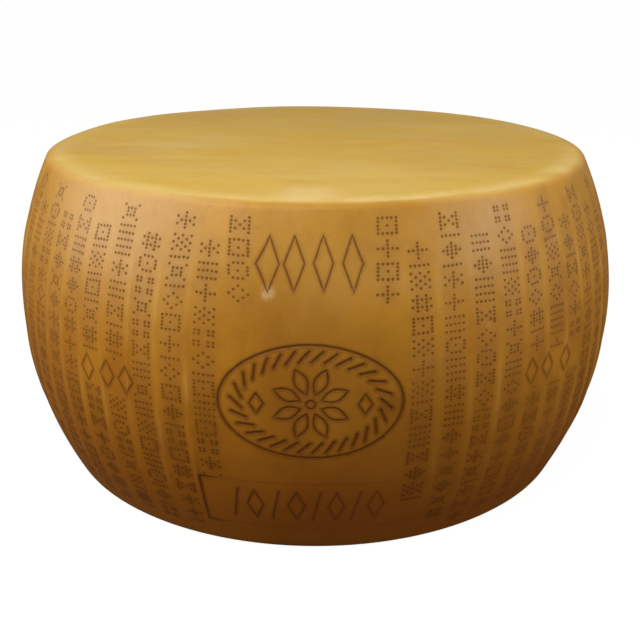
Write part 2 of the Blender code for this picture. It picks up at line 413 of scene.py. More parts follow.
class StudioSettings(bpy.types.PropertyGroup):
    """The camera and the lights."""

    camera_distance: a_length("Camera distance", "From the lens to the point it looks at", 0.7359)
    camera_rise: bpy.props.FloatProperty(
        name="Camera rise", description="Angle of the camera above the floor", default=0.3685, subtype="ANGLE"
    )
    camera_roll: bpy.props.FloatProperty(
        name="Camera roll", description="Turn about its own view", default=0.0048, subtype="ANGLE"
    )
    lens: a_number("Lens", "Focal length in millimetres on a 36 mm sensor", 51.1)
    key_power: a_number("Key light", "Power of the soft light overhead", 12.4)
    left_power: a_number("Left light", "Power of the light from the left", 9.0)
    right_power: a_number("Right light", "Power of the light from the right", 8.2)
    world_strength: a_number("Surroundings", "Strength of the light of the surroundings", 0.35)
    floor_shadow: a_number("Floor shadow", "Share of the floor's look that shows shadows", 0.08)


def deselect_all():
    """Leaves nothing selected, in object mode."""
    if bpy.context.object and bpy.context.object.mode != "OBJECT":
        bpy.ops.object.mode_set(mode="OBJECT")
    bpy.ops.object.select_all(action="DESELECT")


def make_active(piece):
    """Selects one object alone and makes it the active one."""
    deselect_all()
    piece.select_set(True)
    bpy.context.view_layer.objects.active = piece


def corner_places(piece):
    """The places of a mesh's corners as an array of one row each."""
    found = np.empty(len(piece.data.vertices) * 3)
    piece.data.vertices.foreach_get("co", found)
    return found.reshape(-1, 3)


def face_centres(piece):
    """The centres of a mesh's faces, and how many sides each has."""
    faces = piece.data.polygons
    centres = np.empty(len(faces) * 3)
    sides = np.empty(len(faces), dtype=np.int32)
    faces.foreach_get("center", centres)
    faces.foreach_get("loop_total", sides)
    return centres.reshape(-1, 3), sides


@contextmanager
def editing(piece, kind, mask=None):
    """Edit mode on one piece, with all of it or only the masked corners or faces selected."""
    make_active(piece)
    data = piece.data
    for part in (data.vertices, data.edges, data.polygons):
        part.foreach_set("select", np.full(len(part), mask is None))
    if mask is not None:
        {"VERT": data.vertices, "FACE": data.polygons}[kind].foreach_set("select", mask)
    bpy.context.tool_settings.mesh_select_mode = (kind == "VERT", False, kind == "FACE")
    bpy.ops.object.mode_set(mode="EDIT")
    yield
    bpy.ops.object.mode_set(mode="OBJECT")


class Profile:
    """The turned outline of the wheel, followed from halfway up the wall to the centre of a face."""

    def __init__(self, sizes):
        half = sizes.wall_height / 2
        lean = math.atan2(sizes.wall_curve * sizes.draw_in, half)
        share = np.linspace(0, 1, WALL_POINTS)
        wall_radius = sizes.widest_radius - sizes.draw_in * share**sizes.wall_curve
        wall_angle = np.arctan(sizes.wall_curve * sizes.draw_in / half * share ** (sizes.wall_curve - 1))
        turn = np.linspace(lean, math.pi / 2, RIM_POINTS)[1:]
        centre_radius = wall_radius[-1] - sizes.rim_radius * math.cos(lean)
        rim_rise = half - sizes.rim_radius * math.sin(lean)
        inwards = np.linspace(centre_radius, 0, FACE_POINTS)[1:]
        self.radius = np.concatenate((wall_radius, centre_radius + sizes.rim_radius * np.cos(turn), inwards))
        on_top = np.full_like(inwards, rim_rise + sizes.rim_radius)
        self.rise = np.concatenate((share * half, rim_rise + sizes.rim_radius * np.sin(turn), on_top))
        self.angle = np.concatenate((wall_angle, turn, np.full_like(inwards, math.pi / 2)))
        steps = np.hypot(np.diff(self.radius), np.diff(self.rise))
        self.distance = np.concatenate(([0.0], np.cumsum(steps)))
        self.wall_end = self.distance[WALL_POINTS - 1]
        self.rim_end = self.distance[WALL_POINTS + RIM_POINTS - 2]
        self.pole = self.distance[-1]
        self.mid_height = sizes.height / 2

    def at(self, distance):
        """Radius, height and lean of the outward normal, at a signed distance up from half height."""
        reach = np.abs(distance)
        side = np.sign(distance)
        radius = np.interp(reach, self.distance, self.radius)
        height = self.mid_height + side * np.interp(reach, self.distance, self.rise)
        return radius, height, side * np.interp(reach, self.distance, self.angle)


class Layout:
    """How the cells of the flat strip lie on the wall."""

    def __init__(self, sizes, marks):
        self.profile = Profile(sizes)
        self.across = marks.dot_pitch
        self.up = 2 * self.profile.wall_end / WALL_ROWS
        strip = 2 * math.pi * sizes.widest_radius / STRIPS
        gap = (strip - DOTS_ACROSS * self.across) / (CELLS_PER_STRIP - DOTS_ACROSS)
        inset_half = 0.5 - marks.dot_margin / self.across
        dot_half = marks.dot_width / self.across / 2
        cells = []
        places = []
        for number in range(-STRIPS, 2 * STRIPS):
            middle = number * CELLS_PER_STRIP
            for dot in range(-(DOTS_ACROSS // 2), DOTS_ACROSS // 2 + 1):
                for in_cell, in_place in ((-0.5, -0.5), (-inset_half, -dot_half), (inset_half, dot_half)):
                    cells.append(middle + dot + in_cell)
                    places.append(number * strip + (dot + in_place) * self.across)
            for step in range(CELLS_PER_STRIP - DOTS_ACROSS):
                cells.append(middle + DOTS_ACROSS / 2 + step)
                places.append(number * strip + DOTS_ACROSS / 2 * self.across + step * gap)
        self.cells = np.array(cells)
        self.places = np.array(places)
        rows = [0, WALL_ROWS / 2, WALL_ROWS / 2 + RIM_ROWS, ROWS / 2]
        distances = [0, self.profile.wall_end, self.profile.rim_end, self.profile.pole]
        self.rows = np.array([-row for row in rows[:0:-1]] + rows)
        self.distances = np.array([-distance for distance in distances[:0:-1]] + distances)

    def along(self, cells):
        """Distance round the wall of a place counted in cells."""
        return np.interp(cells, self.cells, self.places)

    def cell(self, along):
        """The place in cells of a distance round the wall."""
        return np.interp(along, self.places, self.cells)

    def distance(self, rows):
        """Distance up the profile of a place counted in rows."""
        return np.interp(rows, self.rows, self.distances)

    def cells_and_rows(self, flat, first_cell):
        """Places of a flat strip, counted in cells round the wheel and in rows down from the upper rim."""
        cells = flat[:, 0] / self.across + first_cell - 0.5 + SECTOR_CELLS / 2
        return cells, WALL_ROWS / 2 - flat[:, 1] / self.up


def spread(field, across, up):
    """A field over the cells, averaged over a box of cells either way."""
    total = sum(np.roll(field, step, axis=0) for step in range(-across, across + 1))
    padded = np.pad(total, ((0, 0), (up, up)))
    rows = field.shape[1]
    total = sum(padded[:, step : step + rows] for step in range(2 * up + 1))
    return total / ((2 * across + 1) * (2 * up + 1))


class Pattern:
    """Which cells of the whole wall are dotted, and what each dot is like."""

    def __init__(self, layout):
        self.layout = layout
        self.dotted = np.zeros((ALL_CELLS, WALL_ROWS), dtype=bool)
        self.columns = np.zeros((ALL_CELLS, WALL_ROWS), dtype=bool)
        for number in range(-STRIPS // 2, STRIPS // 2):
            if abs(number) > PLAIN_STRIPS:
                self.fill_column(number)
        self.stain = STAIN_SHARE * self.dotted + (1 - STAIN_SHARE) * spread(self.dotted.astype(float), 1, 1)
        self.column = spread(spread(self.columns.astype(float), 1, 2), 1, 2)
        draw = np.random.default_rng(DOT_SEED)
        self.stray = draw.uniform(-1, 1, (ALL_CELLS, WALL_ROWS, 2))
        self.strength = draw.uniform(*DOT_STRENGTH, (ALL_CELLS, WALL_ROWS))

    def is_clear(self, number, row):
        """Whether a row of a column keeps off the pressed lines."""
        layout = self.layout
        along = float(layout.along(number * CELLS_PER_STRIP))
        reach = DOTS_ACROSS / 2 * layout.across
        upper = float(layout.distance(WALL_ROWS / 2 - row))
        lower = float(layout.distance(WALL_ROWS / 2 - row - 1))
        return all(
            along + reach < left or along - reach > right or upper < low or lower > high
            for left, right, low, high in PLAIN_FIELDS
        )

    def fill_column(self, number):
        """Fills one column with a row of different motifs and bars."""
        draw = np.random.default_rng(COLUMN_SEED + number)
        row = HIGH_START if number % 2 == 0 else LOW_START
        motif = -1
        first = number * CELLS_PER_STRIP - DOTS_ACROSS // 2
        while row + MOTIF_ROWS <= LAST_ROW:
            choice = int(draw.integers(len(MOTIFS) - 1))
            motif = choice + (choice >= motif)
            rows = MOTIFS[motif]
            if draw.random() < BAR_CHANCE:
                rows = rows + (".....", "#####")
            for step, line in enumerate(rows[: LAST_ROW - row]):
                if self.is_clear(number, row + step):
                    for dot, sign in enumerate(line):
                        self.dotted[(first + dot) % ALL_CELLS, row + step] = sign == "#"
                        self.columns[(first + dot) % ALL_CELLS, row + step] = True
            row += len(rows) + 1

    def at(self, field, cells, rows):
        """A field's value at the cell that holds each place."""
        cell = np.floor(cells + 0.5).astype(int) % ALL_CELLS
        row = np.clip(np.floor(rows).astype(int), 0, WALL_ROWS - 1)
        return field[cell, row]

    def smooth_at(self, field, cells, rows):
        """A field's value at each place, drawn evenly from the four cells about it."""
        left = np.floor(cells).astype(int)
        share = cells - left
        above = np.clip(np.floor(rows - 0.5).astype(int), 0, WALL_ROWS - 2)
        sink = np.clip(rows - 0.5 - above, 0, 1)
        total = 0
        for cell, across in ((left, 1 - share), (left + 1, share)):
            column = field[cell % ALL_CELLS, above] * (1 - sink) + field[cell % ALL_CELLS, above + 1] * sink
            total = total + column * across
        return total


def oval(centre, size, steps):
    """A closed oval outline, which with four steps is a lozenge."""
    points = []
    for step in range(steps):
        angle = 2 * math.pi * step / steps
        points.append((centre[0] + size[0] / 2 * math.cos(angle), centre[1] + size[1] / 2 * math.sin(angle)))
    return points


def stroke(centre, reach):
    """A straight stroke of two points, from its centre as far either way."""
    return [(centre[0] - reach[0], centre[1] - reach[1]), (centre[0] + reach[0], centre[1] + reach[1])]


def petal(centre, angle):
    """A closed outline of a petal, pointed at both ends."""
    inner, outer = FLOWER_REACH
    points = []
    for side in (1, -1):
        for step in range(PETAL_STEPS):
            share = step / PETAL_STEPS if side == 1 else 1 - step / PETAL_STEPS
            reach = inner + (outer - inner) * share
            swell = side * PETAL_WIDTH / 2 * math.sin(math.pi * share)
            points.append(
                (
                    centre[0] + reach * math.cos(angle) - swell * math.sin(angle),
                    centre[1] + reach * math.sin(angle) + swell * math.cos(angle),
                )
            )
    return points


def rope():
    """Short slanted strokes that follow each other round the inside of the stamp's frame."""
    size = (STAMP_SIZE[0] * ROPE_SHARE, STAMP_SIZE[1] * ROPE_SHARE)
    outline = np.array(oval(STAMP_CENTRE, size, ROPE_STEPS) + oval(STAMP_CENTRE, size, 1))
    walked = np.concatenate(([0.0], np.cumsum(np.hypot(*np.diff(outline, axis=0).T))))
    stops = np.linspace(0, walked[-1], ROPE_TICKS, endpoint=False)
    places = np.column_stack([np.interp(stops, walked, outline[:, axis]) for axis in range(2)]).tolist()
    for before, place, after in zip(places[-1:] + places[:-1], places, places[1:] + places[:1]):
        heading = math.atan2(after[1] - before[1], after[0] - before[0]) + ROPE_LEAN
        reach = (ROPE_TICK / 2 * math.cos(heading), ROPE_TICK / 2 * math.sin(heading))
        yield stroke(place, reach)


def pressed_lines(marks):
    """Every pressed line as (points, half width, closed)."""
    fine = marks.fine_line
    lines = [(oval(STAMP_CENTRE, STAMP_SIZE, STAMP_STEPS), marks.frame_line, True)]
    lines.append((oval(STAMP_CENTRE, EYE_SIZE, EYE_STEPS), fine, True))
    for number in range(FLOWER_PETALS):
        lines.append((petal(STAMP_CENTRE, 2 * math.pi * (number + 0.5) / FLOWER_PETALS), fine, True))
    for side in (1, -1):
        lines.append((oval((STAMP_CENTRE[0] + side * STUD_PLACE, STAMP_CENTRE[1]), STUD_SIZE, 4), fine, True))
    for points in rope():
        lines.append((points, marks.bold_line, False))
    for along in LOZENGE_PLACES:
        lines.append((oval((along, LOZENGE_UP), LOZENGE_SIZE, 4), fine, True))
    for along in DIAMOND_PLACES:
        lines.append((oval((along, DIAMOND_UP), DIAMOND_SIZE, 4), fine, True))
    lines.append((plate_frame(), marks.frame_line, False))
    for number in range(PLATE_SIGNS):
        centre = (PLATE_SIGN_START[0] + number * PLATE_SIGN_SPACING, PLATE_SIGN_START[1])
        if number % 2:
            lines.append((oval(centre, PLATE_LOZENGE_SIZE, 4), fine, True))
        else:
            lines.append((stroke(centre, PLATE_TICK_REACH), fine, False))
    return [(even_steps(points, closed), half_width, closed) for points, half_width, closed in lines]


def even_steps(points, closed):
    """A line with its long sides divided, so that it can follow the bulge of the wall."""
    divided = []
    for (left, low), (right, high) in zip(points, points[1:] + points[:1] if closed else points[1:]):
        pieces = math.ceil(math.hypot(right - left, high - low) / LINE_STEP)
        for piece in range(pieces):
            divided.append((left + (right - left) * piece / pieces, low + (high - low) * piece / pieces))
    return divided if closed else divided + points[-1:]


def plate_frame():
    """The frame of the plate, open at the right, where a dotted column crosses it."""
    left, low = (PLATE_CENTRE[axis] - PLATE_SIZE[axis] / 2 for axis in range(2))
    right, high = (PLATE_CENTRE[axis] + PLATE_SIZE[axis] / 2 for axis in range(2))
    return [(PLATE_TOP_END, high), (left, high), (left, low), (right, low)]


def line_wear(along, up):
    """What is left of the pressed lines: the plate is worn off to the right, the small marks all over."""
    left = PLATE_CENTRE[0] - PLATE_SIZE[0] / 2
    reach = PLATE_SIZE[1] / 2
    signs = np.interp(along, (PLATE_SIGN_START[0], -PLATE_SIGN_START[0]), SIGN_WEAR)
    frame_line = np.interp(along, (left + PLATE_MARGIN, left + FRAME_WEAR_REACH), FRAME_WEAR)
    from_middle = np.abs(up - PLATE_CENTRE[1])
    inside = (from_middle < reach - PLATE_MARGIN) & (along > left + PLATE_MARGIN)
    plate = np.where(inside, signs, frame_line)
    others = np.where(np.abs(along) > STAMP_SIZE[0], DIAMOND_WEAR, 1.0)
    others = np.where(up > LOZENGE_UP - LOZENGE_SIZE[1], LOZENGE_WEAR, others)
    return np.where(up > PLATE_CENTRE[1] + reach + PLATE_MARGIN, others, plate)


def line_tube(points, half_width, closed):
    """A tube along a line of the wall, whose lower part will be cut out of it."""
    curve = bpy.data.curves.new("line", "CURVE")
    curve.dimensions = "3D"
    curve.bevel_depth = half_width / math.sqrt(1 - LINE_LIFT**2)
    curve.bevel_resolution = 1
    curve.use_fill_caps = not closed
    spline = curve.splines.new("POLY")
    spline.points.add(len(points) - 1)
    for point, (along, up) in zip(spline.points, points):
        point.co = (along, up, LINE_LIFT * curve.bevel_depth, 1.0)
    spline.use_cyclic_u = closed
    tube = bpy.data.objects.new("line", curve)
    bpy.context.scene.collection.objects.link(tube)
    make_active(tube)
    bpy.ops.object.convert(target="MESH")
    return bpy.context.object


def flat_strip(name, layout):
    """The flat strip of one sector, as a plain grid."""
    deselect_all()
    bpy.ops.mesh.primitive_grid_add(x_subdivisions=SECTOR_CELLS, y_subdivisions=ROWS, size=1)
    strip = bpy.context.object
    strip.name = name
    strip.data.name = name
    strip.scale = (SECTOR_CELLS * layout.across, ROWS * layout.up, 1)
    bpy.ops.object.transform_apply(location=True, rotation=True, scale=True)
    return strip


def sector_lines(layout, marks, first_cell):
    """The pressed lines that lie in a sector."""
    found = []
    for line in pressed_lines(marks):
        cells = [float(layout.cell(along)) for along, up in line[0]]
        if max(cells) > first_cell - 0.5 and min(cells) < first_cell - 0.5 + SECTOR_CELLS:
            found.append(line)
    return found


def from_lines(along, up, lines):
    """Distance of each place from the edge of the nearest pressed line."""
    nearest = np.full(along.shape, 1.0)
    for points, half_width, closed in lines:
        ends = points[1:] + points[:1] if closed else points[1:]
        for (left, low), (right, high) in zip(points, ends):
            step = (right - left, high - low)
            share = ((along - left) * step[0] + (up - low) * step[1]) / (step[0] ** 2 + step[1] ** 2)
            share = np.clip(share, 0, 1)
            reach = np.hypot(along - left - share * step[0], up - low - share * step[1])
            nearest = np.minimum(nearest, reach - half_width)
    return nearest


def divide_near(strip, pattern, marks, lines, first_cell):
    """Divides the plain cells about the pressed lines, so that they can hold the soft stain of the lines."""
    layout = pattern.layout
    centres, _ = face_centres(strip)
    cells, rows = layout.cells_and_rows(centres, first_cell)
    near = from_lines(layout.along(cells), centres[:, 1], lines) < DIVIDE_REACH * marks.line_stain
    near &= pattern.at(pattern.stain, cells, rows) == 0
    with editing(strip, "FACE", near):
        bpy.ops.mesh.subdivide(number_cuts=2)


def line_cutter(lines, layout, first_cell):
    """The tubes of some lines as one object, laid out over the flat strip of a sector."""
    tubes = [line_tube(*line) for line in lines]
    make_active(tubes[0])
    for tube in tubes:
        tube.select_set(True)
    bpy.ops.object.join()
    cutter = bpy.context.object
    places = corner_places(cutter)
    places[:, 0] = (layout.cell(places[:, 0]) - first_cell + 0.5 - SECTOR_CELLS / 2) * layout.across
    cutter.data.vertices.foreach_set("co", places.ravel())
    cutter.data.update()
    return cutter


def cut_lines(strip, pattern, marks, first_cell):
    """Thickens the strip for a Boolean cut of its pressed lines, and thins it again."""
    lines = sector_lines(pattern.layout, marks, first_cell)
    if not lines:
        return
    cutter = line_cutter(lines, pattern.layout, first_cell)
    divide_near(strip, pattern, marks, lines, first_cell)
    with editing(strip, "FACE"):
        bpy.ops.transform.translate(value=(0, 0, -SLAB))
        bpy.ops.mesh.extrude_region_move(TRANSFORM_OT_translate={"value": (0, 0, SLAB)})
        bpy.ops.mesh.select_all(action="SELECT")
        bpy.ops.mesh.normals_make_consistent(inside=False)
    cut = strip.modifiers.new("pressed lines", "BOOLEAN")
    cut.operation = "DIFFERENCE"
    cut.object = cutter
    bpy.ops.object.modifier_apply(modifier=cut.name)
    bpy.data.objects.remove(cutter, do_unlink=True)
    places = corner_places(strip)
    under = [min(places[corner, 2] for corner in face.vertices) < -SLAB / 2 for face in strip.data.polygons]
    with editing(strip, "FACE", under):
        bpy.ops.mesh.delete(type="FACE")
        bpy.ops.mesh.select_all(action="SELECT")
        bpy.ops.mesh.remove_doubles(threshold=SLIVER)
        bpy.ops.mesh.select_all(action="SELECT")
        bpy.ops.mesh.vert_connect_concave()


def press_dots(strip, pattern, marks, first_cell):
    """Presses a round pit into every dotted cell of the flat strip."""
    centres, sides = face_centres(strip)
    cells, rows = pattern.layout.cells_and_rows(centres, first_cell)
    chosen = (rows > 0) & (rows < WALL_ROWS) & (sides == 4) & pattern.at(pattern.dotted, cells, rows)
    with editing(strip, "FACE", chosen):
        bpy.ops.mesh.inset(thickness=marks.dot_margin, use_individual=True)
        bpy.ops.mesh.bevel(affect="VERTICES", offset=marks.dot_corner, segments=1)
        bpy.ops.mesh.select_face_by_sides(number=8, type="EQUAL", extend=False)
        bpy.ops.mesh.poke(offset=-marks.dot_depth)


def waves(azimuth, distance, seed, count, turns, climb):
    """A smooth uneven field that closes on itself round the wheel, from about -1 to 1."""
    draw = np.random.default_rng(seed)
    total = np.zeros_like(azimuth)
    for _ in range(count):
        round_turns = int(draw.integers(1, turns))
        up_turns = draw.uniform(-climb, climb)
        total += np.cos(round_turns * azimuth + up_turns * distance + draw.uniform(0, 2 * math.pi))
    return total / math.sqrt(count)


def ribs(cells, azimuth, distance, height, layout, sizes):
    """How strongly the rib between two columns stands out at each place, from 0 to 1."""
    strips = cells / CELLS_PER_STRIP
    from_rib = np.abs(strips - np.floor(strips) - 0.5) * CELLS_PER_STRIP
    gap_cells = CELLS_PER_STRIP - DOTS_ACROSS
    gap_cell = (2 * math.pi * sizes.widest_radius / STRIPS - DOTS_ACROSS * layout.across) / gap_cells
    crest = np.exp(-((from_rib * gap_cell / sizes.rib_width) ** 2)) * (from_rib < gap_cells / 2)
    boundary = np.abs((np.floor(strips) + 0.5 + STRIPS / 2) % STRIPS - STRIPS / 2)
    ends = np.interp(height, RIB_ENDS, (0, 1, 1, 0))
    worn = np.clip(RIB_WORN + RIB_WORN_SWING * waves(azimuth, distance, *RIB_WAVES), 0, 1)
    return crest * ends * worn * (boundary > RIBLESS_STRIPS)


def set_values(data, name, values):
    """Keeps a number for each corner of a mesh, which its material reads."""
    attribute = data.attributes.new(name, "FLOAT", "POINT")
    attribute.data.foreach_set("value", np.asarray(values, dtype=np.float32))


def column_lean(along, distance, sizes):
    """How far the columns lean to one side towards the upper rim, and the two by the lozenges outwards."""
    reach = np.abs(along)
    beside = np.interp(reach, UPRIGHT_COLUMN, (0, 1, 1, 0))
    others = np.interp(reach, LEANING_COLUMNS, (0, 1))
    climb = np.clip((distance - UPRIGHT_FOOT) / (sizes.wall_height / 2 - UPRIGHT_FOOT), 0, 1)
    return (np.sign(along) * sizes.upright * beside + sizes.lean * others) * climb


def wrap(strip, pattern, sizes, marks, first_cell):
    """Wraps the flat strip round the wall and over both faces."""
    layout = pattern.layout
    data = strip.data
    flat = corner_places(strip)
    cells, rows = layout.cells_and_rows(flat, first_cell)
    distance = layout.distance(flat[:, 1] / layout.up)
    along = layout.along(cells)
    on_wall = (rows > 0) & (rows < WALL_ROWS)

    in_cell = np.abs(cells - np.floor(cells + 0.5)) * layout.across < (layout.across - marks.dot_margin) / 2
    in_row = np.abs(rows - np.floor(rows) - 0.5) * layout.up < (layout.up - marks.dot_margin) / 2
    in_dot = on_wall & in_cell & in_row & pattern.at(pattern.dotted, cells, rows)
    stray = pattern.at(pattern.stray, cells, rows) * in_dot[:, None] * marks.dot_scatter
    steady = 1 - np.clip(np.abs(distance) / layout.profile.wall_end, 0, 1) ** DRIFT_FADE
    azimuth = along / sizes.widest_radius
    drift_along, drift_up = (sizes.drift * waves(azimuth, distance, *kind) * steady for kind in DRIFT_WAVES)
    lean_out = column_lean(along, distance, sizes) * on_wall
    azimuth = (along + stray[:, 0] + drift_along + lean_out) / sizes.widest_radius
    distance = distance + stray[:, 1] + drift_up
    radius, height, lean = layout.profile.at(distance)

    wear = np.interp(height / sizes.height, WEAR_HEIGHTS, DOT_WEAR)
    wear = np.clip(wear + WEAR_SWING * waves(azimuth, distance, *WEAR_WAVES), LEAST_WEAR, 1.0)
    worn = line_wear(along, flat[:, 1])
    kept = np.where(in_dot, wear * pattern.at(pattern.strength, cells, rows), marks.line_depth * worn)
    depth = -flat[:, 2] * kept
    rib = ribs(cells, azimuth, distance, height, layout, sizes)
    off_base = np.interp(height, LEVEL_FOOT, (0, 1)) * np.interp(radius, LEVEL_MIDDLE, (0, 1))
    wander = sizes.unevenness * (np.minimum(waves(azimuth, distance, *SKIN_WAVES), 1) - 1) * off_base
    outwards = sizes.rib_height * rib + wander - depth
    radius = radius + outwards * np.cos(lean)
    height = height + outwards * np.sin(lean)

    set_values(data, "pressed", np.clip(depth / marks.dot_depth, 0, 1))
    lines = sector_lines(layout, marks, first_cell)
    past = from_lines(along, flat[:, 1], lines) / marks.line_stain
    soft = np.clip(1 - past, 0, 1)
    set_values(data, "line", soft * soft * (3 - 2 * soft) * worn)
    set_values(data, "stain", pattern.smooth_at(pattern.stain, cells, rows) * on_wall)
    set_values(data, "column", pattern.smooth_at(pattern.column, cells, rows) * on_wall)
    set_values(data, "rib", rib)
    edge = np.abs(flat[:, 0]) > (SECTOR_CELLS / 2 - 0.25) * layout.across
    set_values(data, "side", edge * np.sign(flat[:, 0]))
    lay_out_map(data, flat, layout)
    wrapped = np.column_stack((radius * np.sin(azimuth), -radius * np.cos(azimuth), height))
    data.vertices.foreach_set("co", wrapped.ravel())
    data.update()


def lay_out_map(data, flat, layout):
    """Unrolls the strip over its map, with the wall given most of the height."""
    usable = 1 - CUT_MAP_SHARE
    distance = layout.distance(flat[:, 1] / layout.up)
    profile = layout.profile
    knots = [-profile.pole, -profile.rim_end, profile.rim_end, profile.pole]
    up = np.interp(distance, knots, [0, FACE_MAP_SHARE, usable - FACE_MAP_SHARE, usable])
    across = flat[:, 0] / (SECTOR_CELLS * layout.across) + 0.5
    corner = np.empty(len(data.loops), dtype=np.int32)
    data.loops.foreach_get("vertex_index", corner)
    for old in list(data.uv_layers):
        data.uv_layers.remove(old)
    layer = data.uv_layers.new(name="OFBake")
    layer.data.foreach_set("uv", np.column_stack((across, up))[corner].astype(np.float32).ravel())


def close_sector(strip, sizes):
    """Merges the poles and closes the two flat cuts, so that the sector is one closed body."""
    with editing(strip, "VERT"):
        bpy.ops.mesh.remove_doubles(threshold=MERGE_REACH)
    places = corner_places(strip)
    poles = np.hypot(places[:, 0], places[:, 1]) < POLE_REACH
    with editing(strip, "VERT", poles):
        bpy.ops.mesh.edge_face_add()
    side = np.empty(len(places), dtype=np.float32)
    strip.data.attributes["side"].data.foreach_get("value", side)
    open_faces = len(strip.data.polygons)
    for sign in (-1, 1):
        with editing(strip, "VERT", poles | (np.sign(side) == sign)):
            bpy.ops.mesh.edge_face_add()
    for order, face in enumerate(strip.data.polygons[open_faces:]):
        for corner in face.loop_indices:
            place = places[strip.data.loops[corner].vertex_index]
            reach = math.hypot(place[0], place[1]) / sizes.widest_radius
            across = order / 2 + np.interp(reach, (0, 1), CUT_MAP_ACROSS)
            up = 1 - CUT_MAP_SHARE * np.interp(place[2] / sizes.height, (0, 1), CUT_MAP_UP)
            strip.data.uv_layers["OFBake"].data[corner].uv = (across, up)
    with editing(strip, "VERT"):
        bpy.ops.mesh.normals_make_consistent(inside=False)


class Tree:
    """Short calls for placing and joining the nodes of a material or a group."""

    def __init__(self, tree):
        self.tree = tree

    def node(self, kind, inputs=None, **settings):
        """Places a node, sets it and joins its inputs to values or to other nodes' outputs."""
        made = self.tree.nodes.new(kind)
        for name, value in settings.items():
            setattr(made, name, value)
        for name, value in (inputs or {}).items():
            if isinstance(value, bpy.types.NodeSocket):
                self.tree.links.new(value, made.inputs[name])
            else:
                made.inputs[name].default_value = value
        return made

    def math(self, operation, first, second):
        """A Math node's result."""
        return self.node("ShaderNodeMath", {0: first, 1: second}, operation=operation).outputs[0]

    def ramp(self, value, low, high, to_low=0.0, to_high=1.0):
        """A smooth step of a value between two bounds."""
        made = self.node(
            "ShaderNodeMapRange",
            {"Value": value, "From Min": low, "From Max": high, "To Min": to_low, "To Max": to_high},
            interpolation_type="SMOOTHSTEP",
        )
        return made.outputs[0]

    def mix(self, factor, first, second):
        """A mix of two colours."""
        return self.node("ShaderNodeMix", {0: factor, 6: first, 7: second}, data_type="RGBA").outputs[2]

    def noise(self, vector, scale, detail, roughness):
        """A noise value."""
        inputs = {"Vector": vector, "Scale": scale, "Detail": detail, "Roughness": roughness}
        return self.node("ShaderNodeTexNoise", inputs).outputs[0]


def blotch_group():
    """Soft blotches of uneven skin, as a mask."""
    group = bpy.data.node_groups.new("Blotches", "ShaderNodeTree")
    for socket in ("Vector", "Scale", "Low", "High"):
        kind = "NodeSocketVector" if socket == "Vector" else "NodeSocketFloat"
        group.interface.new_socket(socket, in_out="INPUT", socket_type=kind)
    group.interface.new_socket("Mask", in_out="OUTPUT", socket_type="NodeSocketFloat")
    tree = Tree(group)
    given = tree.node("NodeGroupInput").outputs
    mask = tree.ramp(tree.noise(given["Vector"], given["Scale"], *BLOTCH_DETAIL), given["Low"], given["High"])
    tree.node("NodeGroupOutput", {"Mask": mask})
    return group


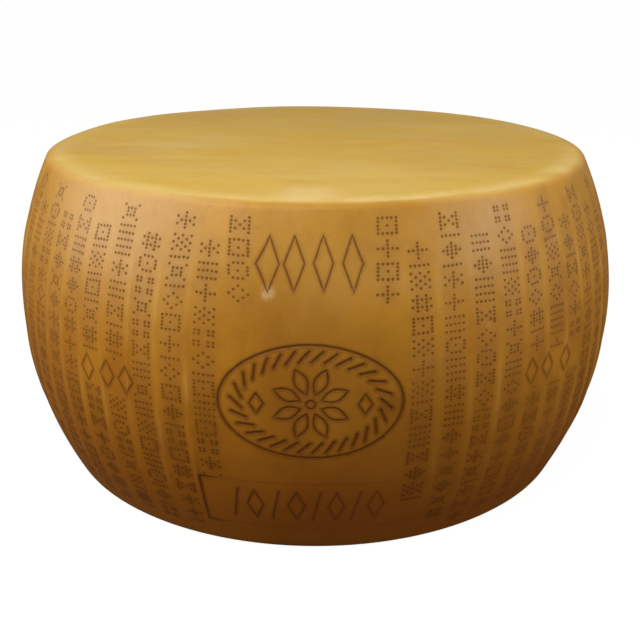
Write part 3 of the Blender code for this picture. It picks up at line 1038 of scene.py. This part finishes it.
class Painter(Tree):
    """Lays the colours of the rind over each other, through masks of its own."""

    def __init__(self, tree, colours):
        super().__init__(tree)
        self.place = self.node("ShaderNodeTexCoord").outputs["Object"]
        self.blotches = blotch_group()
        self.masks = {name: self.attribute(name) for name in ("column", "rib", "stain", "line", "pressed")}
        self.tones = {name: (*getattr(colours, name), 1.0) for name in RindColours.__annotations__}

    def attribute(self, name):
        """A number that the mesh keeps for the material."""
        return self.node("ShaderNodeAttribute", attribute_name=name).outputs["Fac"]

    def blotch(self, scale, low, high, stretch):
        """Soft blotches."""
        vector = self.node("ShaderNodeMapping", {"Vector": self.place, "Scale": stretch}).outputs[0]
        inputs = {"Vector": vector, "Scale": scale, "Low": low, "High": high}
        return self.node("ShaderNodeGroup", inputs, node_tree=self.blotches).outputs["Mask"]

    def near(self, point, inner, outer):
        """A mask that fades out between two distances from a point."""
        reach = self.node("ShaderNodeVectorMath", {0: self.place, 1: point}, operation="DISTANCE")
        return self.ramp(reach.outputs["Value"], outer, inner)

    def mask(self, name, *bounds):
        """One of the masks, over a ramp if it is given the bounds of one."""
        return self.ramp(self.masks[name], *bounds) if bounds else self.masks[name]

    def times(self, first, *others):
        """The product of some masks."""
        for other in others:
            first = self.math("MULTIPLY", first, other)
        return first

    def paint(self, skin, layers):
        """The skin with some layers laid over it."""
        for layer in layers:
            factors = [layer.strength]
            if layer.blotch:
                factors.append(self.blotch(*layer.blotch))
            if layer.near:
                factors.append(self.near(*layer.near))
            factors += [self.mask(*mask) for mask in layer.masks]
            skin = self.mix(self.times(*factors), skin, self.tones[layer.colour])
        return skin

    def add_masks(self, sizes):
        """Works out the masks that follow the form of the wheel."""
        masks = self.masks
        x, masks["y"], z = self.node("ShaderNodeSeparateXYZ", {0: self.place}).outputs
        uneven = self.math("SUBTRACT", self.noise(self.place, *UNEVEN_NOISE), 0.5)
        uneven = self.times(uneven, UNEVEN_SHARE)
        masks["share"] = self.math("ADD", self.math("DIVIDE", z, sizes.height), uneven)
        masks["clear"] = self.mask("column", *COLUMN_CLEAR)
        # Painted sheen: a pale patch at the upper left, with blotches all round, partly waxy bloom and partly
        # reflected light
        patches = self.times(self.blotch(*BLOOM_AND_SHEEN_BLOTCH), BLOOM_AND_SHEEN_SHARE)
        masks["bloom"] = self.math("MAXIMUM", self.near(*PAINTED_SHEEN_PATCH), patches)
        masks["kept"] = self.math("SUBTRACT", 1.0, self.times(self.near(*WORN_PATCH), WORN_SHARE))
        flat_place = self.node("ShaderNodeCombineXYZ", {0: x, 1: masks["y"], 2: 0.0}).outputs[0]
        radius = self.node("ShaderNodeVectorMath", {0: flat_place}, operation="LENGTH").outputs["Value"]
        masks["radius"] = self.math("ADD", radius, self.times(self.near(*DIP_PATCH), DIP))
        masks["face"] = self.mask("radius", *(sizes.flat_radius + reach for reach in RIM_TURN))
        # The rubbed rim band, which also carries a painted highlight that is strongest towards the front
        rubbed_and_highlit = self.mask("radius", *(sizes.flat_radius + reach for reach in RUBBED_AND_HIGHLIT))
        masks["rubbed_and_highlit"] = self.times(rubbed_and_highlit, self.blotch(*RUBBED_AND_HIGHLIT_BLOTCH), self.mask("y", *HIGHLIGHT_FRONT))
        for name, mask, first, last in TONES:
            self.tones[name] = self.mix(self.mask(*mask), self.tones[first], self.tones[last])


def rind_material(sizes, colours):
    """Waxy rind: golden faces painted lighter at the front and duller at the back, rubbed rims with a painted
    highlight at the front, an amber wall that darkens downwards with a painted sheen under the upper rim, and
    brown dots.
    """
    material = bpy.data.materials.new("rind")
    material.use_nodes = True
    material.node_tree.nodes.clear()
    tree = Painter(material.node_tree, colours)
    tree.add_masks(sizes)
    wall = tree.paint(tree.tones["lower"], WALL_LAYERS)
    face = tree.paint(tree.tones["face"], FACE_LAYERS)
    skin = tree.paint(tree.mix(tree.masks["face"], wall, face), MARK_LAYERS)

    fine = tree.math("MULTIPLY", tree.noise(tree.place, *FINE_NOISE), FINE_SHARE)
    relief = tree.math("ADD", fine, tree.noise(tree.place, *COARSE_NOISE))
    bump_inputs = {"Strength": BUMP_STRENGTH, "Distance": BUMP_DISTANCE, "Height": relief}
    bump = tree.node("ShaderNodeBump", bump_inputs).outputs[0]
    roughness = tree.ramp(tree.noise(tree.place, *GLOSS_NOISE), *GLOSS_RAMP)
    shader = tree.node(
        "ShaderNodeBsdfPrincipled",
        {"Base Color": skin, "Roughness": roughness, "Normal": bump, "Specular IOR Level": SPECULAR},
    )
    tree.node("ShaderNodeOutputMaterial", {"Surface": shader.outputs[0]})
    return material


class CHEESE_OT_add_rind(bpy.types.Operator):
    """Model the marked rind as six sectors that stand for the plain wheel"""

    bl_idname = "cheese.add_rind"
    bl_label = "Add rind"

    def execute(self, context):
        sizes = context.scene.cheese_sizes
        marks = context.scene.cheese_marks
        pattern = Pattern(Layout(sizes, marks))
        material = rind_material(sizes, context.scene.cheese_colours)
        for number in range(SECTORS):
            first_cell = FIRST_CELL + (number - (number > SECTORS // 2) * SECTORS) * SECTOR_CELLS
            strip = flat_strip(f"rind_{number + 1}", pattern.layout)
            cut_lines(strip, pattern, marks, first_cell)
            press_dots(strip, pattern, marks, first_cell)
            wrap(strip, pattern, sizes, marks, first_cell)
            close_sector(strip, sizes)
            make_active(strip)
            bpy.ops.object.shade_smooth_by_angle(angle=SMOOTH_ANGLE)
            strip.data.materials.append(material)
            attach(strip, "root")
            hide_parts("wheel")
            deselect_all()
        return {"FINISHED"}


class CHEESE_OT_add_studio(bpy.types.Operator):
    """Set up the pale floor, the soft lights and the camera"""

    bl_idname = "cheese.add_studio"
    bl_label = "Add studio"

    def execute(self, context):
        sizes = context.scene.cheese_sizes
        studio = context.scene.cheese_studio
        add_floor(studio)
        add_world(studio)
        add_lights(studio)
        add_camera(sizes, studio)
        context.scene.view_settings.view_transform = "Standard"
        return {"FINISHED"}


def seen_as(tree, camera_look, other_look):
    """A shader that the camera sees as one look and that lights the scene as another."""
    path = tree.node("ShaderNodeLightPath").outputs["Is Camera Ray"]
    return tree.node("ShaderNodeMixShader", {0: path, 1: other_look, 2: camera_look}).outputs[0]


def add_floor(studio):
    """A wide pale floor that shows white with a faint shadow and sends little light back up."""
    deselect_all()
    bpy.ops.mesh.primitive_plane_add(size=30)
    floor = bpy.context.object
    floor.name = "floor"
    material = bpy.data.materials.new("floor")
    material.use_nodes = True
    material.node_tree.nodes.clear()
    tree = Tree(material.node_tree)
    place = tree.node("ShaderNodeTexCoord").outputs["Object"]
    tone = tree.mix(tree.noise(place, *PAPER_NOISE), *PAPER)
    paper = tree.node("ShaderNodeBsdfDiffuse", {"Color": tone}).outputs[0]
    glow = tree.node("ShaderNodeEmission", {"Color": WHITE, "Strength": FLOOR_GLOW}).outputs[0]
    white = tree.node("ShaderNodeMixShader", {0: studio.floor_shadow, 1: glow, 2: paper}).outputs[0]
    dim = tree.node("ShaderNodeBsdfDiffuse", {"Color": FLOOR_BOUNCE}).outputs[0]
    tree.node("ShaderNodeOutputMaterial", {"Surface": seen_as(tree, white, dim)})
    floor.data.materials.append(material)


def add_world(studio):
    """Surroundings that show white and light the wheel softly."""
    world = bpy.data.worlds.new("studio")
    world.use_nodes = True
    world.node_tree.nodes.clear()
    tree = Tree(world.node_tree)
    white = tree.node("ShaderNodeBackground", {"Color": WHITE, "Strength": 1.0}).outputs[0]
    soft_inputs = {"Color": WORLD_LIGHT, "Strength": studio.world_strength}
    soft = tree.node("ShaderNodeBackground", soft_inputs).outputs[0]
    tree.node("ShaderNodeOutputWorld", {"Surface": seen_as(tree, white, soft)})
    bpy.context.scene.world = world


def direction(heading):
    """Euler turn that points an object's -Z along a heading."""
    x, y, z = heading
    return (math.pi / 2 + math.atan2(z, math.hypot(x, y)), 0.0, math.atan2(-x, y))


def add_lights(studio):
    """A soft light above the front and a broad one at either side."""
    for name, place, target, size, power, colour in LIGHTS:
        data = bpy.data.lights.new(name, "AREA")
        data.shape = "SQUARE"
        data.size = size
        data.energy = getattr(studio, power)
        data.color = colour
        light = bpy.data.objects.new(name, data)
        light.location = place
        light.rotation_euler = direction((-place[0], -place[1], target - place[2]))
        bpy.context.scene.collection.objects.link(light)


def add_camera(sizes, studio):
    """The camera at the photograph's angle."""
    data = bpy.data.cameras.new("camera")
    data.lens = studio.lens
    data.sensor_width = 36.0
    data.dof.use_dof = False
    camera = bpy.data.objects.new("camera", data)
    bpy.context.scene.collection.objects.link(camera)
    right, up = (share * sizes.widest_radius for share in CAMERA_AIM)
    back = studio.camera_distance * math.cos(studio.camera_rise)
    rise = studio.camera_distance * math.sin(studio.camera_rise)
    camera.location = (right, -back, sizes.height / 2 + up + rise)
    camera.rotation_euler = direction((0.0, back, -rise))
    camera.rotation_mode = "QUATERNION"
    roll = Quaternion((0.0, 0.0, 1.0), studio.camera_roll)
    camera.rotation_quaternion = camera.rotation_quaternion @ roll
    bpy.context.scene.camera = camera


class CHEESE_PT_panel(bpy.types.Panel):
    """Sizes, colours and steps of the cheese wheel"""

    bl_label = "Cheese wheel"
    bl_idname = "CHEESE_PT_panel"
    bl_space_type = "VIEW_3D"
    bl_region_type = "UI"
    bl_category = "Cheese"

    def draw(self, context):
        for title, group in (
            ("Wheel", context.scene.cheese_sizes),
            ("Marks", context.scene.cheese_marks),
            ("Colours", context.scene.cheese_colours),
            ("Studio", context.scene.cheese_studio),
        ):
            box = self.layout.box()
            box.label(text=title)
            for name in group.__annotations__:
                box.prop(group, name)
        self.layout.operator(CHEESE_OT_add_rind.bl_idname)
        self.layout.operator(CHEESE_OT_add_studio.bl_idname)


GROUPS = {
    "cheese_sizes": WheelSizes,
    "cheese_marks": MarkSizes,
    "cheese_colours": RindColours,
    "cheese_studio": StudioSettings,
}
CLASSES = (*GROUPS.values(), CHEESE_OT_add_rind, CHEESE_OT_add_studio, CHEESE_PT_panel)


def register():
    """Makes the panel, the operators and the settings known."""
    for one in CLASSES:
        bpy.utils.register_class(one)
    for name, group in GROUPS.items():
        setattr(bpy.types.Scene, name, bpy.props.PointerProperty(type=group))


def unregister():
    """Takes them out again."""
    for name in GROUPS:
        delattr(bpy.types.Scene, name)
    for one in reversed(CLASSES):
        bpy.utils.unregister_class(one)


def main():
    """Builds the rind and the studio."""
    register()
    bpy.ops.cheese.add_rind()
    bpy.ops.cheese.add_studio()


if __name__ == "__main__":
    main()
